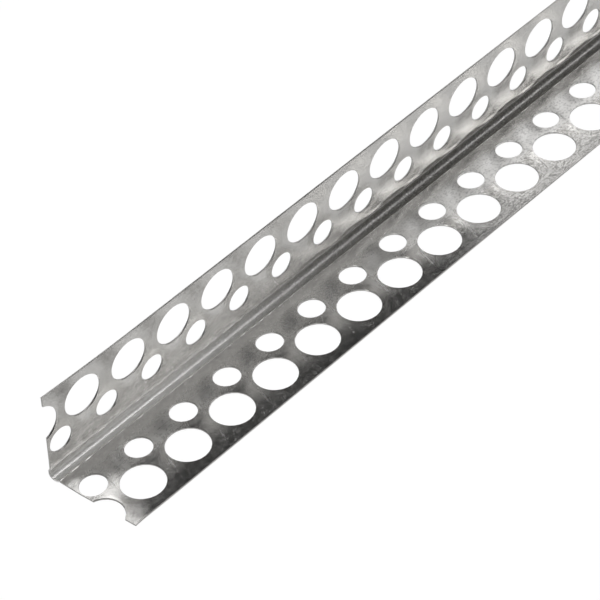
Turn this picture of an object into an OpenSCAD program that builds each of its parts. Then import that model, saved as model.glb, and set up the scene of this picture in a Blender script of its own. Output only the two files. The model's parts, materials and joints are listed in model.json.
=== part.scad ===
// Perforated drywall corner bead: one strip of thin sheet, punched with two rows of
// round holes in each flange, then rolled to an angle with a small raised nose.
// It lies on one flange along +X, and the other flange stands up at the back.

/* [Stock] */
// Length of the bead
length = 2500; // [600:1:3000]
// Width over one flange, from the outside of the nose to the free edge
flange_w = 25; // [23.5:0.1:32]
// Thickness of the sheet
sheet = 0.4; // [0.3:0.05:0.6]
// Angle between the flanges, rolled a little under square so that they grip the wall
flange_angle = 83.5; // [80:0.5:90]

/* [Nose] */
// How far the nose stands proud of the flanges
nose_proud = 0.4; // [0.25:0.05:0.6]
// From the corner of the flange faces to the middle of the step beside the nose
nose_w = 1.8; // [1.7:0.05:2.5]
// Radius inside the rounded tip of the nose
nose_r = 1; // [0.6:0.05:1.2]
// Radius of the two small bends in each step, at the middle of the sheet
step_r = 0.6; // [0.5:0.05:0.7]

/* [Perforation] */
// Pitch of the holes along each row
pitch = 13.75; // [13:0.05:18]
// Diameter of the large holes, which the filler keys into
large_d = 10.2; // [8:0.1:10.5]
// Diameter of the small holes, which take nails or staples
small_d = 6.4; // [4:0.1:6.6]
// From the free edge to the row of large holes
large_row = 7.5; // [7:0.1:7.8]
// From the free edge to the row of small holes
small_row = 15.4; // [15.2:0.1:15.8]
// From each large hole to the next small hole, along the bead
stagger = 6.65; // [6:0.05:7.5]
// From the first large hole's centre to the near end, which is cut just past it
end_past = 2.6; // [2:0.1:4]

/* [Hidden] */
$fn = 64;

// Beside the nose each flange steps outwards through two equal bends, one each way.
step_turn = acos(1 - nose_proud / (2 * step_r));
step_run = 2 * step_r * sin(step_turn);
step_start = nose_w - step_run / 2;
step_end = nose_w + step_run / 2;

// The nose's own faces lie outside the flanges, and meet at a rounded tip.
tip_turn = 180 - flange_angle;
tip_end = nose_r * tan(tip_turn / 2) - nose_proud / tan(flange_angle / 2);

// The section is drawn from the corner where the flange faces inside the angle would meet.
nose_back = nose_r + sheet - tip_end;
face_w = flange_w - nose_back;

// Each bend is drawn as short flats, each turning at most this far
facet_angle = 8;

// Every row runs past both ends, so that the ends cut it where they fall.
last_hole = ceil((length + end_past) / pitch);
punch_h = 4 * (sheet + nose_proud);

// The bead stands on the underside of its nose, and its middle is over the origin.
under_z = -sheet - nose_proud;
middle_y = (face_w - nose_back) / 2;

// Points along a bend about a centre, without the first one
function bend(centre, r, from, to) =
    let (steps = ceil(abs(to - from) / facet_angle))
    [for (i = [1 : steps])
        let (a = from + (to - from) * i / steps)
        centre + r * [cos(a), sin(a)]];

// The lower flange's surface at a depth in the sheet, from the free edge to the nose
function flange_line(depth) = concat(
    [[face_w, -depth], [step_end, -depth]],
    bend([step_end, -sheet / 2 - step_r], step_r + sheet / 2 - depth, 90, 90 + step_turn),
    bend([step_start, under_z + sheet / 2 + step_r], step_r - sheet / 2 + depth,
        270 + step_turn, 270),
    [[tip_end, -nose_proud - depth]]
);

// The same line on the standing flange, mirrored across the middle of the angle
function mirrored(line) =
    let (middle = [cos(flange_angle / 2), sin(flange_angle / 2)])
    [for (p = line) 2 * (p * middle) * middle - p];

function reversed(line) = [for (i = [len(line) - 1 : -1 : 0]) line[i]];

// One face of the whole section, from the lower free edge round the nose to the upper one
function section_line(depth) = concat(
    flange_line(depth),
    bend([tip_end, nose_r - nose_proud], nose_r + depth, 270, 270 - tip_turn),
    reversed([for (i = [0 : len(flange_line(depth)) - 2]) mirrored(flange_line(depth))[i]])
);

module bead_section() {
    polygon(concat(section_line(0), reversed(section_line(sheet))));
}

// Punches for the two rows of holes in the lower flange
module punches() {
    for (k = [0 : last_hole])
        translate([k * pitch - end_past, face_w, 0]) {
            translate([0, -large_row, 0]) cylinder(d = large_d, h = punch_h, center = true);
            translate([stagger, -small_row, 0]) cylinder(d = small_d, h = punch_h, center = true);
        }
}

module corner_bead() {
    color("silver")
        translate([-length / 2, middle_y, -under_z]) mirror([0, 1, 0])
            difference() {
                rotate([90, 0, 90]) linear_extrude(height = length) bead_section();
                punches();
                rotate([flange_angle, 0, 0]) mirror([0, 0, 1]) punches();
            }
}

corner_bead();
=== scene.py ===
import json
import math

import bmesh
import bpy
from mathutils import Matrix, Vector


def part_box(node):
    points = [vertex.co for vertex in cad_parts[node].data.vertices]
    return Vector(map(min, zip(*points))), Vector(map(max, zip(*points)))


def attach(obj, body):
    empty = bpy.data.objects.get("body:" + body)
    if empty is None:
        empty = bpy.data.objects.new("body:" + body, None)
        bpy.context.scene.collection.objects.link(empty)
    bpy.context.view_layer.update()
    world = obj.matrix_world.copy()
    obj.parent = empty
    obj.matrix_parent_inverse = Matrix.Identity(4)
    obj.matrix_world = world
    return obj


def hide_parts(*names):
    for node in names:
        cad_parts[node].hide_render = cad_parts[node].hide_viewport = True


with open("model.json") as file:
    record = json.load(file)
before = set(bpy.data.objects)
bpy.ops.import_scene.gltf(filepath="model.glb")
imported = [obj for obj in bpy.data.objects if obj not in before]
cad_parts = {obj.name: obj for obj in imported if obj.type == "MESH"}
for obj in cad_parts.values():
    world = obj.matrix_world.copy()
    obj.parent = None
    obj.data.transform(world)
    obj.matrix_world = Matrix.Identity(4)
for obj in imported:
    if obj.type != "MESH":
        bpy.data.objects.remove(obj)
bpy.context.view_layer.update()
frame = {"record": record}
scene = bpy.context.scene
scene.view_settings.view_transform = "Standard"

# The bead's section
# The real bead is one strip of thin bright aluminium, rolled between wheels to an angle a little
# under square. A small rounded nose, proud of both flanges, makes the edge that filler is drawn to.
MM = 0.001
low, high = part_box("corner_bead")
sheet = 0.4 * MM
nose_proud = 0.4 * MM
nose_half = 1.8 * MM
nose_radius = 1.0 * MM
step_radius = 0.6 * MM
flange_angle = math.radians(83.5)

# Beside the nose each flange steps outwards through two equal bends, one each way.
step_turn = math.acos(1 - nose_proud / (2 * step_radius))
step_run = 2 * step_radius * math.sin(step_turn)
step_start = nose_half - step_run / 2
step_end = nose_half + step_run / 2

# The section is drawn from the corner where the inside faces of the two flanges would meet.
tip_turn = math.pi - flange_angle
tip_end = nose_radius * math.tan(tip_turn / 2) - nose_proud / math.tan(flange_angle / 2)
nose_back = nose_radius + sheet - tip_end
face_width = high.y - low.y - nose_back
corner_y = high.y - nose_back
corner_z = sheet + nose_proud

STEP_FLATS = 3
TIP_FLATS = 8


def bend_line(centre, radius, start, turn, flats):
    """Points along a bend, each with the direction that faces out of the inside of the angle."""
    sign = 1 if radius > 0 else -1
    line = []
    for i in range(flats + 1):
        angle = start + turn * i / flats
        out = Vector((math.cos(angle), math.sin(angle)))
        line.append((centre + abs(radius) * out, sign * out))
    return line


def nose_line():
    """The inside face from the lying flange's flat to the middle of the nose's tip."""
    first = Vector((step_end, -sheet / 2 - step_radius))
    second = Vector((step_start, step_radius - nose_proud - sheet / 2))
    tip = Vector((tip_end, nose_radius - nose_proud))
    up = math.pi / 2
    down = 3 * up
    line = bend_line(first, -(step_radius + sheet / 2), up, step_turn, STEP_FLATS)
    line += bend_line(second, step_radius - sheet / 2, down + step_turn, -step_turn, STEP_FLATS)[1:]
    line += bend_line(tip, nose_radius, down, -tip_turn / 2, TIP_FLATS // 2)
    return line


def placed(along, point, outwards, depth, standing):
    """A point of the section in the row's frame, mirrored across the angle for the standing flange."""
    spot = point + outwards * depth
    if standing:
        middle = Vector((math.cos(flange_angle / 2), math.sin(flange_angle / 2)))
        spot = 2 * spot.dot(middle) * middle - spot
    return Vector((along, corner_y - spot.x, corner_z + spot.y))


# One stroke of the press
# Before it is rolled the strip is punched, one large and one small hole in each flange at a stroke.
# The large holes key the filler, the small ones take nails. The punch rounds the rim that it enters.
fixing = frame["record"]["mounts"][0]["dims"]
STROKES_PER_FIXING = 15
small_radius = fixing["hole_r_mm"] * MM
pitch = fixing["spacing_x_mm"] / STROKES_PER_FIXING * MM
large_radius = 5.1 * MM
large_row = 7.5 * MM
small_row = 15.4 * MM
stagger = 6.65 * MM
end_past = 2.6 * MM
row_start = low.x - end_past
first_small = row_start + stagger
rim_roll = 0.08 * MM
same_spot = 0.001 * MM

# Where the cells of the two rows meet, the line between them weaves from hole to hole.
weave_middle = 12.4 * MM
weave_depth = 0.9 * MM
small_cell_top = 20.4 * MM
EDGE_PARTS = 6
WEAVE_PARTS = 8
LARGE_SIDE_PARTS = 7
SMALL_SIDE_PARTS = 4
SMALL_TOP_PARTS = 6
NOSE_PARTS = 2


def between(a, b, parts):
    """Points from a up to b, without b."""
    return [a.lerp(b, i / parts) for i in range(parts)]


def weave(start_x):
    """One pitch of the line between the rows, from start_x on, with both its ends."""
    line = []
    for i in range(WEAVE_PARTS + 1):
        x = start_x + pitch * i / WEAVE_PARTS
        line.append(Vector((x, weave_middle + weave_depth * math.cos(2 * math.pi * x / pitch))))
    return line


def cell(bottom, top, side_parts):
    """Four sides of a cell, from bottom left anticlockwise, as a list of points for each side."""
    right = between(bottom[-1], top[-1], side_parts)
    left = between(top[0], bottom[0], side_parts)
    return [bottom[:-1], right, top[:0:-1], left]


def straight(start_x, distance, parts):
    """One pitch of a straight line along the bead, at a distance from the free edge."""
    return [Vector((start_x + pitch * i / parts, distance)) for i in range(parts + 1)]


def rim_of(sides, centre, radius):
    """Points round a hole, one for each point of its cell, with the cell's corners in line."""
    turns = []
    for i, side in enumerate(sides):
        here = side[0] - centre
        there = sides[(i + 1) % len(sides)][0] - centre
        start = math.atan2(here.y, here.x)
        turn = (math.atan2(there.y, there.x) - start) % (2 * math.pi)
        turns += [start + turn * j / len(side) for j in range(len(side))]
    return [centre + radius * Vector((math.cos(a), math.sin(a))) for a in turns]


def flat_point(mesh, spot, depth, standing):
    """A vertex on the flat of a flange, from its place along the bead and from the free edge."""
    point = Vector((face_width - spot.y, 0))
    return mesh.verts.new(placed(spot.x, point, Vector((0, -1)), depth, standing))


def band(mesh, one, other, sheared):
    """Faces between two closed rings of as many vertices, marked where the punch sheared them."""
    count = len(one)
    mark = mesh.faces.layers.float["sheared"]
    for i in range(count):
        j = (i + 1) % count
        mesh.faces.new((one[i], one[j], other[j], other[i]))[mark] = sheared


def punched_cell(mesh, sides, centre, radius, standing):
    """Both faces of the sheet round one hole, the hole's wall, and the rim that the punch rolled."""
    border = [p for side in sides for p in side]
    rim = rim_of(sides, centre, radius)
    rolled = rim_of(sides, centre, radius + rim_roll)
    rings = [(border, 0), (rolled, 0), (rim, rim_roll), (rim, sheet), (border, sheet)]
    wall = 2
    rings = [[flat_point(mesh, p, depth, standing) for p in ring] for ring, depth in rings]
    for i in range(len(rings) - 1):
        band(mesh, rings[i], rings[i + 1], sheared=1.0 if i == wall else 0.0)


def fan(mesh, near, far, depth, standing):
    """Flat sheet between a line of many points and a line of few."""
    near = [flat_point(mesh, p, depth, standing) for p in near]
    far = [flat_point(mesh, p, depth, standing) for p in far]
    share = (len(near) - 1) // (len(far) - 1)
    for i in range(len(far) - 1):
        mesh.faces.new(near[i * share:(i + 1) * share + 1] + [far[i + 1], far[i]])


def stroke_mesh():
    """One pitch of the finished bead, with the first large hole's centre at the origin of X."""
    mesh = bmesh.new()
    mark = mesh.faces.layers.float.new("sheared")
    large_edge = straight(-pitch / 2, 0, EDGE_PARTS)
    large_cell = cell(large_edge, weave(-pitch / 2), LARGE_SIDE_PARTS)
    small_top = straight(0, small_cell_top, SMALL_TOP_PARTS)
    small_cell = cell(weave(0), small_top, SMALL_SIDE_PARTS)
    nose_foot = straight(0, face_width - step_end, NOSE_PARTS)
    section = nose_line()
    for standing in (False, True):
        punched_cell(mesh, large_cell, Vector((0, large_row)), large_radius, standing)
        punched_cell(mesh, small_cell, Vector((stagger, small_row)), small_radius, standing)
        inside = [flat_point(mesh, p, 0, standing) for p in large_edge]
        outside = [flat_point(mesh, p, sheet, standing) for p in large_edge]
        for i in range(EDGE_PARTS):
            edge = mesh.faces.new((inside[i], inside[i + 1], outside[i + 1], outside[i]))
            edge[mark] = 1.0
        for depth in (0, sheet):
            fan(mesh, small_top, nose_foot, depth, standing)
            lines = []
            for foot in nose_foot:
                spots = [placed(foot.x, p, out, depth, standing) for p, out in section]
                lines.append([mesh.verts.new(spot) for spot in spots])
            for one, other in zip(lines, lines[1:]):
                for i in range(len(section) - 1):
                    mesh.faces.new((one[i], one[i + 1], other[i + 1], other[i]))
    bmesh.ops.remove_doubles(mesh, verts=mesh.verts, dist=same_spot)
    stroke = bpy.data.meshes.new("stroke")
    mesh.to_mesh(stroke)
    mesh.free()
    return stroke


# The finish
# Plain rolled aluminium, dulled by handling: fine lines from the rolls, scuffs, specks and a grey bloom.
# The nose has a painted highlight near the cut end and painted shade further on, where the lying flange is
# grainy, and painted reflections of the standing flange's hole edges lie as faint lines across that flange,
# one to a stroke.
class Wire:
    """One socket of a shader tree, which takes part in sums and feeds other nodes."""

    def __init__(self, socket):
        self.socket = socket
        self.tree = socket.id_data

    def node(self, kind, settings, sockets, output=0):
        """Adds a node to the tree: its settings first, then its sockets' values or links."""
        node = self.tree.nodes.new(kind)
        for name, value in settings.items():
            setattr(node, name, value)
        for name, value in sockets.items():
            if isinstance(value, Wire):
                self.tree.links.new(value.socket, node.inputs[name])
            else:
                node.inputs[name].default_value = value
        return Wire(node.outputs[output])

    def math(self, operation, one, other=0.0):
        """One or two values put through an operation such as a sum or a product."""
        return self.node("ShaderNodeMath", {"operation": operation}, {0: one, 1: other})

    def __add__(self, other):
        return self.math("ADD", self, other)

    def __radd__(self, other):
        return self.math("ADD", other, self)

    def __sub__(self, other):
        return self.math("SUBTRACT", self, other)

    def __rsub__(self, other):
        return self.math("SUBTRACT", other, self)

    def __mul__(self, other):
        return self.math("MULTIPLY", self, other)

    def __rmul__(self, other):
        return self.math("MULTIPLY", other, self)

    def ramp(self, start, end):
        """0 below start and 1 above end, with a soft step between."""
        sockets = {"Value": self, "From Min": start, "From Max": end}
        return self.node("ShaderNodeMapRange", {"interpolation_type": "SMOOTHSTEP"}, sockets)

    def stretch(self, rise, fall):
        """1 between two soft steps, each given by its start and its end, and 0 outside them."""
        return self.ramp(*rise) * (1 - self.ramp(*fall))

    def noise(self, along, across, detail):
        """Noise over this place, with so many cells to a millimetre along the bead and across it."""
        cells = (along / MM, across / MM, across / MM)
        spread = self.node("ShaderNodeMapping", {}, {"Vector": self, "Scale": cells})
        sockets = {"Vector": spread, "Scale": 1.0, "Detail": detail}
        return self.node("ShaderNodeTexNoise", {}, sockets)

    def blend(self, one, other):
        """A colour that goes from one to the other as this goes from 0 to 1."""
        sockets = {"A": one, "B": other, "Factor": self}
        return self.node("ShaderNodeMix", {"data_type": "RGBA"}, sockets, output="Result")


def drawn_down(x, across):
    """Height of the sheet round the holes, where the punch draws it down a little."""
    drawn_reach = 2.5 * MM
    small_drawn = 0.07 * MM
    large_drawn = 0.025 * MM
    small_holes = (first_small, small_row, small_radius, small_drawn)
    large_holes = (row_start, large_row, large_radius, large_drawn)
    height = 0
    for start, row, radius, depth in (small_holes, large_holes):
        beside = x.math("PINGPONG", x - start, pitch / 2)
        above = across - (face_width - row)
        from_hole = x.math("SQRT", beside * beside + above * above)
        height = height + depth * from_hole.ramp(radius, radius + drawn_reach)
    return height


def hole_edge_reflections(x, lying, bloom):
    """Painted reflections of hole edges: thin lines across the lying flange, one to a stroke and askew,
    broken up by the bloom.
    """
    askew = 0.3
    past_hole = 0.76 * MM
    apart = x.math("PINGPONG", x - row_start + askew * lying + past_hole, pitch / 2)
    thin = 1 - apart.ramp(0.1 * MM, 0.3 * MM)
    return thin * lying.stretch((8 * MM, 11 * MM), (19 * MM, 23 * MM)) * bloom.ramp(0.4, 0.6)


def pressed_waves(x, tall):
    """Height of the shallow waves in the standing flange, between its small holes and the nose."""
    slope = 0.055
    lean = 0.44
    past_hole = 1.2 * MM
    still = 6 * MM
    wave = x.math("SINE", (x + lean * tall - first_small - past_hole) * (2 * math.pi / pitch))
    wave = slope * wave * (tall - still) * tall.stretch((2.6 * MM, 4 * MM), (8 * MM, 12 * MM))
    return wave * (x - low.x).ramp(60 * MM, 110 * MM)


def mill_aluminium():
    """The bead's metal, from noise and from distances in the bead's own frame."""
    material = bpy.data.materials.new("mill_aluminium")
    material.use_nodes = True
    tree = material.node_tree
    shader = tree.nodes["Principled BSDF"]
    place = Wire(tree.nodes.new("ShaderNodeTexCoord").outputs["Object"])
    parts = place.node("ShaderNodeSeparateXYZ", {}, {"Vector": place}).socket.node.outputs
    x, y, z = (Wire(parts[axis]) for axis in "XYZ")
    sheared = place.node("ShaderNodeAttribute", {"attribute_name": "sheared"}, {}, "Fac")

    # Distances from the near end, out along the lying flange, up the standing one, and out along either
    along = x - low.x
    lying = corner_y - y
    tall = z - corner_z
    across = place.math("MAXIMUM", lying, tall)

    # Marks all over the sheet, and lines of painted reflection
    lines = place.noise(along=0.02, across=9, detail=3)
    bloom = place.noise(along=0.06, across=0.12, detail=4)
    specks = place.noise(along=1.6, across=2.4, detail=2).ramp(0.6, 0.7)
    mottle = place.noise(along=0.8, across=1.1, detail=4).ramp(0.42, 0.62)
    pits = place.noise(along=2.2, across=2.6, detail=3).ramp(0.6, 0.68)
    scuff_slant = 0.7
    scuff_squeeze = 0.04
    slanted = {"X": x + scuff_slant * across, "Y": scuff_squeeze * across}
    scuffs = place.node("ShaderNodeCombineXYZ", {}, slanted)
    scuffs = scuffs.noise(along=3, across=3, detail=2).ramp(0.5, 0.8)
    # Lines of painted reflection of the standing flange's hole edges, also rougher
    reflected_edge_lines = hole_edge_reflections(x, lying, bloom)

    # The nose, with the broken ridge and crease that the rolls leave along its sides
    nose = 1 - across.ramp(1.2 * MM, 2.1 * MM)
    broken = place.noise(along=0.5, across=0.1, detail=2).ramp(0.3, 0.65)
    ridge = across.stretch((2.1 * MM, 2.3 * MM), (2.3 * MM, 2.5 * MM)) * broken
    crease = across.stretch((0.45 * MM, 0.65 * MM), (0.65 * MM, 0.85 * MM)) * broken
    # Noise for the nose's bump, which also breaks up its painted shade
    worked_and_shaded = place.noise(along=2.2, across=3.0, detail=3).ramp(0.38, 0.62)
    # Painted shade in the nose's crease, deepening further from the near end, broken by specks
    nose_shade = nose * along.ramp(20 * MM, 120 * MM) * (1 - 0.8 * specks)
    # Painted highlight on the nose near the cut end, mostly on the lying flange's side
    lower_side = 0.25 + 0.75 * lying.ramp(0.2 * MM, 1.0 * MM)
    highlight_near_end = 1 - along.ramp(40 * MM, 120 * MM)
    nose_highlight = (1 - across.ramp(2.1 * MM, 2.7 * MM)) * highlight_near_end * lower_side

    # Lying flange rows: painted shade by the nose, then matt metal, a rougher band of painted highlight,
    # grainy metal
    far_along = along.ramp(80 * MM, 130 * MM)
    low_down = 1 - z.ramp(2 * MM, 3 * MM)
    # Painted shade in a strip beside the nose, low down and far along
    strip = lying.stretch((1.8 * MM, 2.4 * MM), (4.4 * MM, 5.4 * MM)) * low_down * far_along
    matt = lying.stretch((4 * MM, 6 * MM), (11 * MM, 14 * MM))
    # A rougher band far along, with a painted highlight
    lit_rough_band = lying.stretch((4.8 * MM, 5.8 * MM), (12 * MM, 15 * MM)) * far_along
    grain = place.noise(along=1.7, across=2.2, detail=4).ramp(0.48, 0.64)
    grain = grain * far_along * lying.ramp(4 * MM, 6 * MM)

    dull_metal = (0.5, 0.49, 0.475, 1)
    bright_metal = (0.76, 0.752, 0.735, 1)
    # Near-white, for the painted highlights
    highlight_metal = (0.97, 0.965, 0.955, 1)
    # Near-black, for painted shade and for the grain's darker tone
    shade_and_grain_metal = (0.16, 0.155, 0.15, 1)
    # The tone is lighter along the painted reflection lines
    tone = 0.2 + 0.4 * bloom + 0.25 * lines + 0.1 * scuffs + 0.2 * mottle + 0.2 * reflected_edge_lines
    tone = tone - 0.4 * pits - 0.8 * sheared - 0.6 * grain
    clean = tone.blend(dull_metal, bright_metal)
    # Painted highlights: the nose near the cut end, the band far along, and glints at the nose's specks
    painted_highlight = nose_highlight + 0.6 * lit_rough_band + 0.6 * specks * nose
    bright = painted_highlight.blend(clean, highlight_metal)
    # Painted shade along the nose and in the strip beside it, broken by noise, and the grain's own darker
    # tone
    shade_and_grain = 0.55 * nose_shade + 0.3 * grain + 0.12 * strip + (0.25 * nose_shade + 0.08 * nose) * worked_and_shaded
    colour = shade_and_grain.blend(bright, shade_and_grain_metal)

    roughness = 0.08 + 0.12 * bloom + 0.08 * lines + 0.05 * pits + 0.12 * nose + 0.25 * sheared
    roughness = roughness + 0.04 * mottle + 0.05 * scuffs + 0.08 * matt + 0.12 * lit_rough_band + 0.2 * reflected_edge_lines

    rolled = 0.012 * MM * lines + 0.07 * MM * ridge + 0.02 * MM * crease
    speckled = 0.0015 * MM * specks + 0.02 * MM * (worked_and_shaded + specks) * nose
    sloped = 0.16 * MM * lying.ramp(5 * MM, 11.5 * MM)
    relief = rolled + speckled + sloped + drawn_down(x, across) + pressed_waves(x, tall)
    bump = place.node("ShaderNodeBump", {}, {"Height": relief, "Strength": 1.0, "Distance": 1.0})

    tree.links.new(colour.socket, shader.inputs["Base Color"])
    tree.links.new(roughness.socket, shader.inputs["Roughness"])
    tree.links.new(bump.socket, shader.inputs["Normal"])
    shader.inputs["Metallic"].default_value = 1.0
    return material


# The whole length
# The press punches stroke after stroke along the coil, and the rolled strip is cut to length wherever
# that falls, so both ends go through a large hole. The near end of this one is cut out of square and
# bent by hand, and its lying flange is slightly arched.
out_of_square = 0.04
cut_back = 0.3 * MM
cut_hole_nearer = 1.3 * MM
sharp_from = math.radians(28)

# The arch starts a little way out from the corner, rises at first, falls again, and fades at the near end.
arch_start = 3 * MM
arch_slope = 0.065
arch_fall = 3.6
arch_fade = 12 * MM

# At the near end the standing flange is splayed outwards, and the lying one is bent down almost to the
# floor, over a shorter stretch at its free edge than beside the nose.
splay = 0.65 * MM
splay_reach = 28 * MM
drop_share = 0.97
drop_width = 6 * MM
drop_reach = 9 * MM
drop_reach_lost = 4 * MM


def repeat_tree():
    """Geometry nodes that set one stroke after another along the bead and join them."""
    tree = bpy.data.node_groups.new("strokes_along_the_bead", "GeometryNodeTree")
    kinds = {
        "Stroke": "Geometry",
        "Strokes": "Int",
        "First": "Float",
        "Pitch": "Float",
        "Metal": "Material",
    }
    for name, kind in kinds.items():
        tree.interface.new_socket(name, in_out="INPUT", socket_type="NodeSocket" + kind)
    tree.interface.new_socket("Bead", in_out="OUTPUT", socket_type="NodeSocketGeometry")
    given = tree.nodes.new("NodeGroupInput")
    made = tree.nodes.new("NodeGroupOutput")

    def step(kind, **links):
        """Adds a node and links its named inputs."""
        node = tree.nodes.new(kind)
        for name, source in links.items():
            tree.links.new(source, node.inputs[name.replace("_", " ")])
        return node

    start = step("ShaderNodeCombineXYZ", X=given.outputs["First"])
    offset = step("ShaderNodeCombineXYZ", X=given.outputs["Pitch"])
    row = step("GeometryNodeMeshLine", Count=given.outputs["Strokes"],
               Start_Location=start.outputs[0], Offset=offset.outputs[0])
    strokes = step("GeometryNodeInstanceOnPoints", Points=row.outputs[0],
                   Instance=given.outputs["Stroke"])
    real = step("GeometryNodeRealizeInstances", Geometry=strokes.outputs[0])
    joined = step("GeometryNodeMergeByDistance", Geometry=real.outputs[0])
    joined.inputs["Distance"].default_value = 2 * same_spot
    metal = step("GeometryNodeSetMaterial", Geometry=joined.outputs[0],
                 Material=given.outputs["Metal"])
    tree.links.new(metal.outputs[0], made.inputs["Bead"])
    return tree


def move_cut_hole(mesh):
    """Sets the large hole that the near end cuts nearer to the next one, in both flanges."""
    rim_reach = large_radius + 2 * rim_roll
    for vertex in mesh.verts:
        lying = corner_y - vertex.co.y
        standing = lying * math.cos(flange_angle) + (vertex.co.z - corner_z) * math.sin(flange_angle)
        from_edge = face_width - max(lying, standing)
        if math.hypot(vertex.co.x - row_start, from_edge - large_row) < rim_reach:
            vertex.co.x += cut_hole_nearer


def cut_end(mesh, end, outwards):
    """Cuts the strip at one end, by a plane through a point, and closes the cut faces."""
    geometry = mesh.verts[:] + mesh.edges[:] + mesh.faces[:]
    cut = bmesh.ops.bisect_plane(mesh, geom=geometry, dist=same_spot / 2, plane_co=end,
                                 plane_no=outwards, clear_outer=True)["geom_cut"]
    open_edges = [e for e in cut if isinstance(e, bmesh.types.BMEdge)]
    mark = mesh.faces.layers.float["sheared"]
    for face in bmesh.ops.holes_fill(mesh, edges=open_edges, sides=0)["faces"]:
        face[mark] = 1.0


def arch_rise(from_corner):
    """How far the lying flange rises at a distance from the corner, up at first and then down."""
    out = max(0, from_corner - arch_start)
    return arch_slope * out - arch_fall * out ** 2


def bend_flanges(mesh):
    """Arches the lying flange, and bends both flanges at the near end."""
    for vertex in mesh.verts:
        along = vertex.co.x - low.x
        lying = (corner_y - vertex.co.y) / face_width
        standing = (vertex.co.z - corner_z) / face_width
        if standing > lying and along < splay_reach:
            vertex.co.y += splay * standing ** 2 * (1 - along / splay_reach) ** 2
        elif lying > 0:
            from_nose = lying * face_width - step_end
            rise = arch_rise(lying * face_width) * min(1, along / arch_fade)
            vertex.co.z += rise
            drop = drop_share * min(nose_proud, nose_proud + rise)
            reach = drop_reach - drop_reach_lost * lying ** 2
            if from_nose > 0 and along < reach:
                vertex.co.z -= drop * min(1, from_nose / drop_width) * (1 - along / reach) ** 2


def whole_bead(metal):
    """All the strokes as one mesh, cut at both ends and bent."""
    tree = repeat_tree()
    bead = bpy.data.objects.new("punched_bead", stroke_mesh())
    scene.collection.objects.link(bead)
    repeat = bead.modifiers.new("strokes", "NODES")
    repeat.node_group = tree
    values = {
        "Strokes": math.ceil((high.x - row_start) / pitch) + 1,
        "First": row_start,
        "Pitch": pitch,
        "Metal": metal,
    }
    for item in tree.interface.items_tree:
        if item.name in values:
            repeat[item.identifier] = values[item.name]
    bpy.context.view_layer.update()
    repeated = bead.evaluated_get(bpy.context.evaluated_depsgraph_get())
    finished = bpy.data.meshes.new_from_object(repeated)
    bead.modifiers.remove(repeat)
    bead.data = finished

    mesh = bmesh.new()
    mesh.from_mesh(finished)
    move_cut_hole(mesh)
    cut_end(mesh, (low.x + cut_back, corner_y, corner_z), (-1, -out_of_square, 0))
    cut_end(mesh, (high.x, corner_y, corner_z), (1, 0, 0))
    bend_flanges(mesh)
    bmesh.ops.recalc_face_normals(mesh, faces=mesh.faces)
    for face in mesh.faces:
        face.smooth = True
    mesh.to_mesh(finished)
    mesh.free()
    finished.set_sharp_from_angle(angle=sharp_from)
    return bead


bead = whole_bead(mill_aluminium())
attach(bead, "root")
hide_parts("corner_bead")

# The floor
# A plain white studio floor, too wide for its edge to show. It is white to the camera and about half as
# bright in the metal, and it keeps a little of its own shading, so that the bead's soft shadow stays on it.
floor_mesh = bpy.data.meshes.new("floor")
edge = 60.0
corners = [(-edge, -edge, 0), (edge, -edge, 0), (edge, edge, 0), (-edge, edge, 0)]
floor_mesh.from_pydata(corners, [], [(0, 1, 2, 3)])
floor = bpy.data.objects.new("floor", floor_mesh)
scene.collection.objects.link(floor)


def white_floor():
    """Glows to the camera and the metal, with some shading left for the shadow."""
    glow_strength = 1.05
    glow_share = 0.94
    metal_share = 0.5
    material = bpy.data.materials.new("white_floor")
    material.use_nodes = True
    tree = material.node_tree
    shader = tree.nodes["Principled BSDF"]
    shader.inputs["Base Color"].default_value = (0.8, 0.8, 0.8, 1)
    shader.inputs["Roughness"].default_value = 0.9
    path = tree.nodes.new("ShaderNodeLightPath")
    seen = Wire(path.outputs["Is Camera Ray"]) + metal_share * Wire(path.outputs["Is Glossy Ray"])
    glow = seen.node("ShaderNodeEmission", {}, {"Color": (1, 1, 1, 1), "Strength": glow_strength})
    shaded = Wire(shader.outputs[0])
    mixed = seen.node("ShaderNodeMixShader", {}, {0: glow_share * seen, 1: shaded, 2: glow})
    tree.links.new(mixed.socket, tree.nodes["Material Output"].inputs["Surface"])
    return material


floor.data.materials.append(white_floor())

# The light
# A nearly dark studio. Level soft boxes hang close over the part of the bead in view, behind it, in front
# of it and above it, each set by its reflection in the metal. A long one hangs over the rest of the
# length, and a low one stands in front.
world = bpy.data.worlds.new("studio")
scene.world = world
world.use_nodes = True
world.node_tree.nodes["Background"].inputs["Color"].default_value = (0.015, 0.015, 0.015, 1)
near_end = Vector((low.x, 0, 0))
hang_height = 0.12

# A soft box of this many watts to the square metre looks white in a mirror.
WHITE_WATTS = 4


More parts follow.
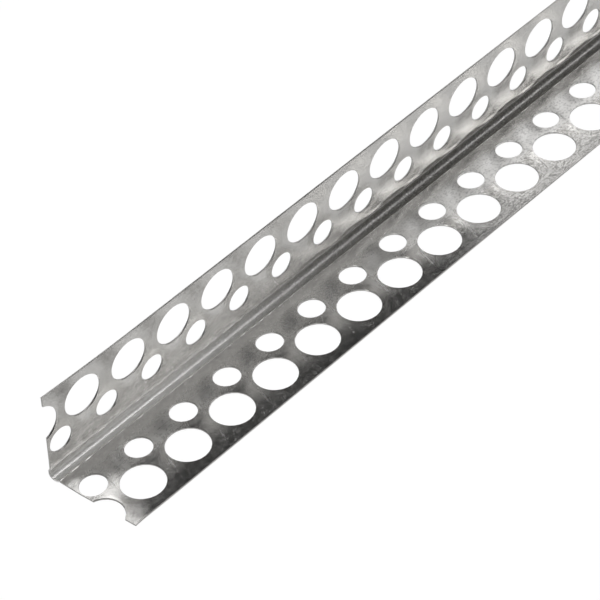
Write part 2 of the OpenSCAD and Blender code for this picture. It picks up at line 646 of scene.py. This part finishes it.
def soft_box(name, middle, target, width, depth, brightness):
    """A rectangular light; brightness is how white it looks in a mirror."""
    lamp = bpy.data.lights.new(name, "AREA")
    lamp.shape = "RECTANGLE"
    lamp.size = width
    lamp.size_y = depth
    lamp.energy = WHITE_WATTS * width * depth * brightness
    box = bpy.data.objects.new(name, lamp)
    box.location = middle
    box.rotation_euler = (target - middle).to_track_quat("-Z", "Y").to_euler()
    box.visible_camera = False
    scene.collection.objects.link(box)


def hung(name, along, across, brightness):
    """A soft box that hangs level over the bead, between these distances in metres from its near end."""
    middle = near_end + Vector((sum(along) / 2, sum(across) / 2, hang_height))
    below = middle + Vector((0, 0, -1))
    soft_box(name, middle, below, along[1] - along[0], across[1] - across[0], brightness)


hung("back_right", along=(0.218, 0.6), across=(0.06, 0.18), brightness=1.5)
hung("front_right", along=(0.18, 0.5), across=(-0.076, -0.05), brightness=3.1)
hung("front_left", along=(-0.02, 0.18), across=(-0.094, -0.036), brightness=0.48)
hung("over_left", along=(-0.04, 0.14), across=(-0.02, 0.012), brightness=2.6)
hung("back_left", along=(-0.02, 0.066), across=(0.07, 0.18), brightness=1.8)
hung("back_dim", along=(0.085, 0.218), across=(0.106, 0.2), brightness=0.14)
hung("over_rest", along=(0.62, 2.8), across=(-0.2, 0.25), brightness=0.7)
low_front = near_end + Vector((0.34, -0.34, 0.255))
soft_box("low_front", low_front, near_end, width=0.5, depth=0.25, brightness=0.46)

# The camera
# The photograph looks down into the angle over its near end, through a long lens and slightly rolled.
# The camera's place was fitted to the holes and the free edges in it.
view_azimuth = math.radians(-42.75)
view_elevation = math.radians(41.51)
view_roll = math.radians(-7.2)
view_distance = 687.7 * MM
target_along = 73.4 * MM
target_out = 4.8 * MM
view_target = Vector((low.x + target_along, corner_y - target_out, corner_z))
camera_data = bpy.data.cameras.new("camera")
camera_data.lens = 184.9
camera_data.sensor_width = 36
camera_data.clip_start = 0.01
camera = bpy.data.objects.new("camera", camera_data)
scene.collection.objects.link(camera)
towards = Vector((
    math.sin(view_azimuth) * math.cos(view_elevation),
    -math.cos(view_azimuth) * math.cos(view_elevation),
    math.sin(view_elevation),
))
turn = towards.to_track_quat("Z", "Y").to_matrix().to_4x4() @ Matrix.Rotation(view_roll, 4, "Z")
camera.matrix_world = Matrix.Translation(view_target + towards * view_distance) @ turn
scene.camera = camera
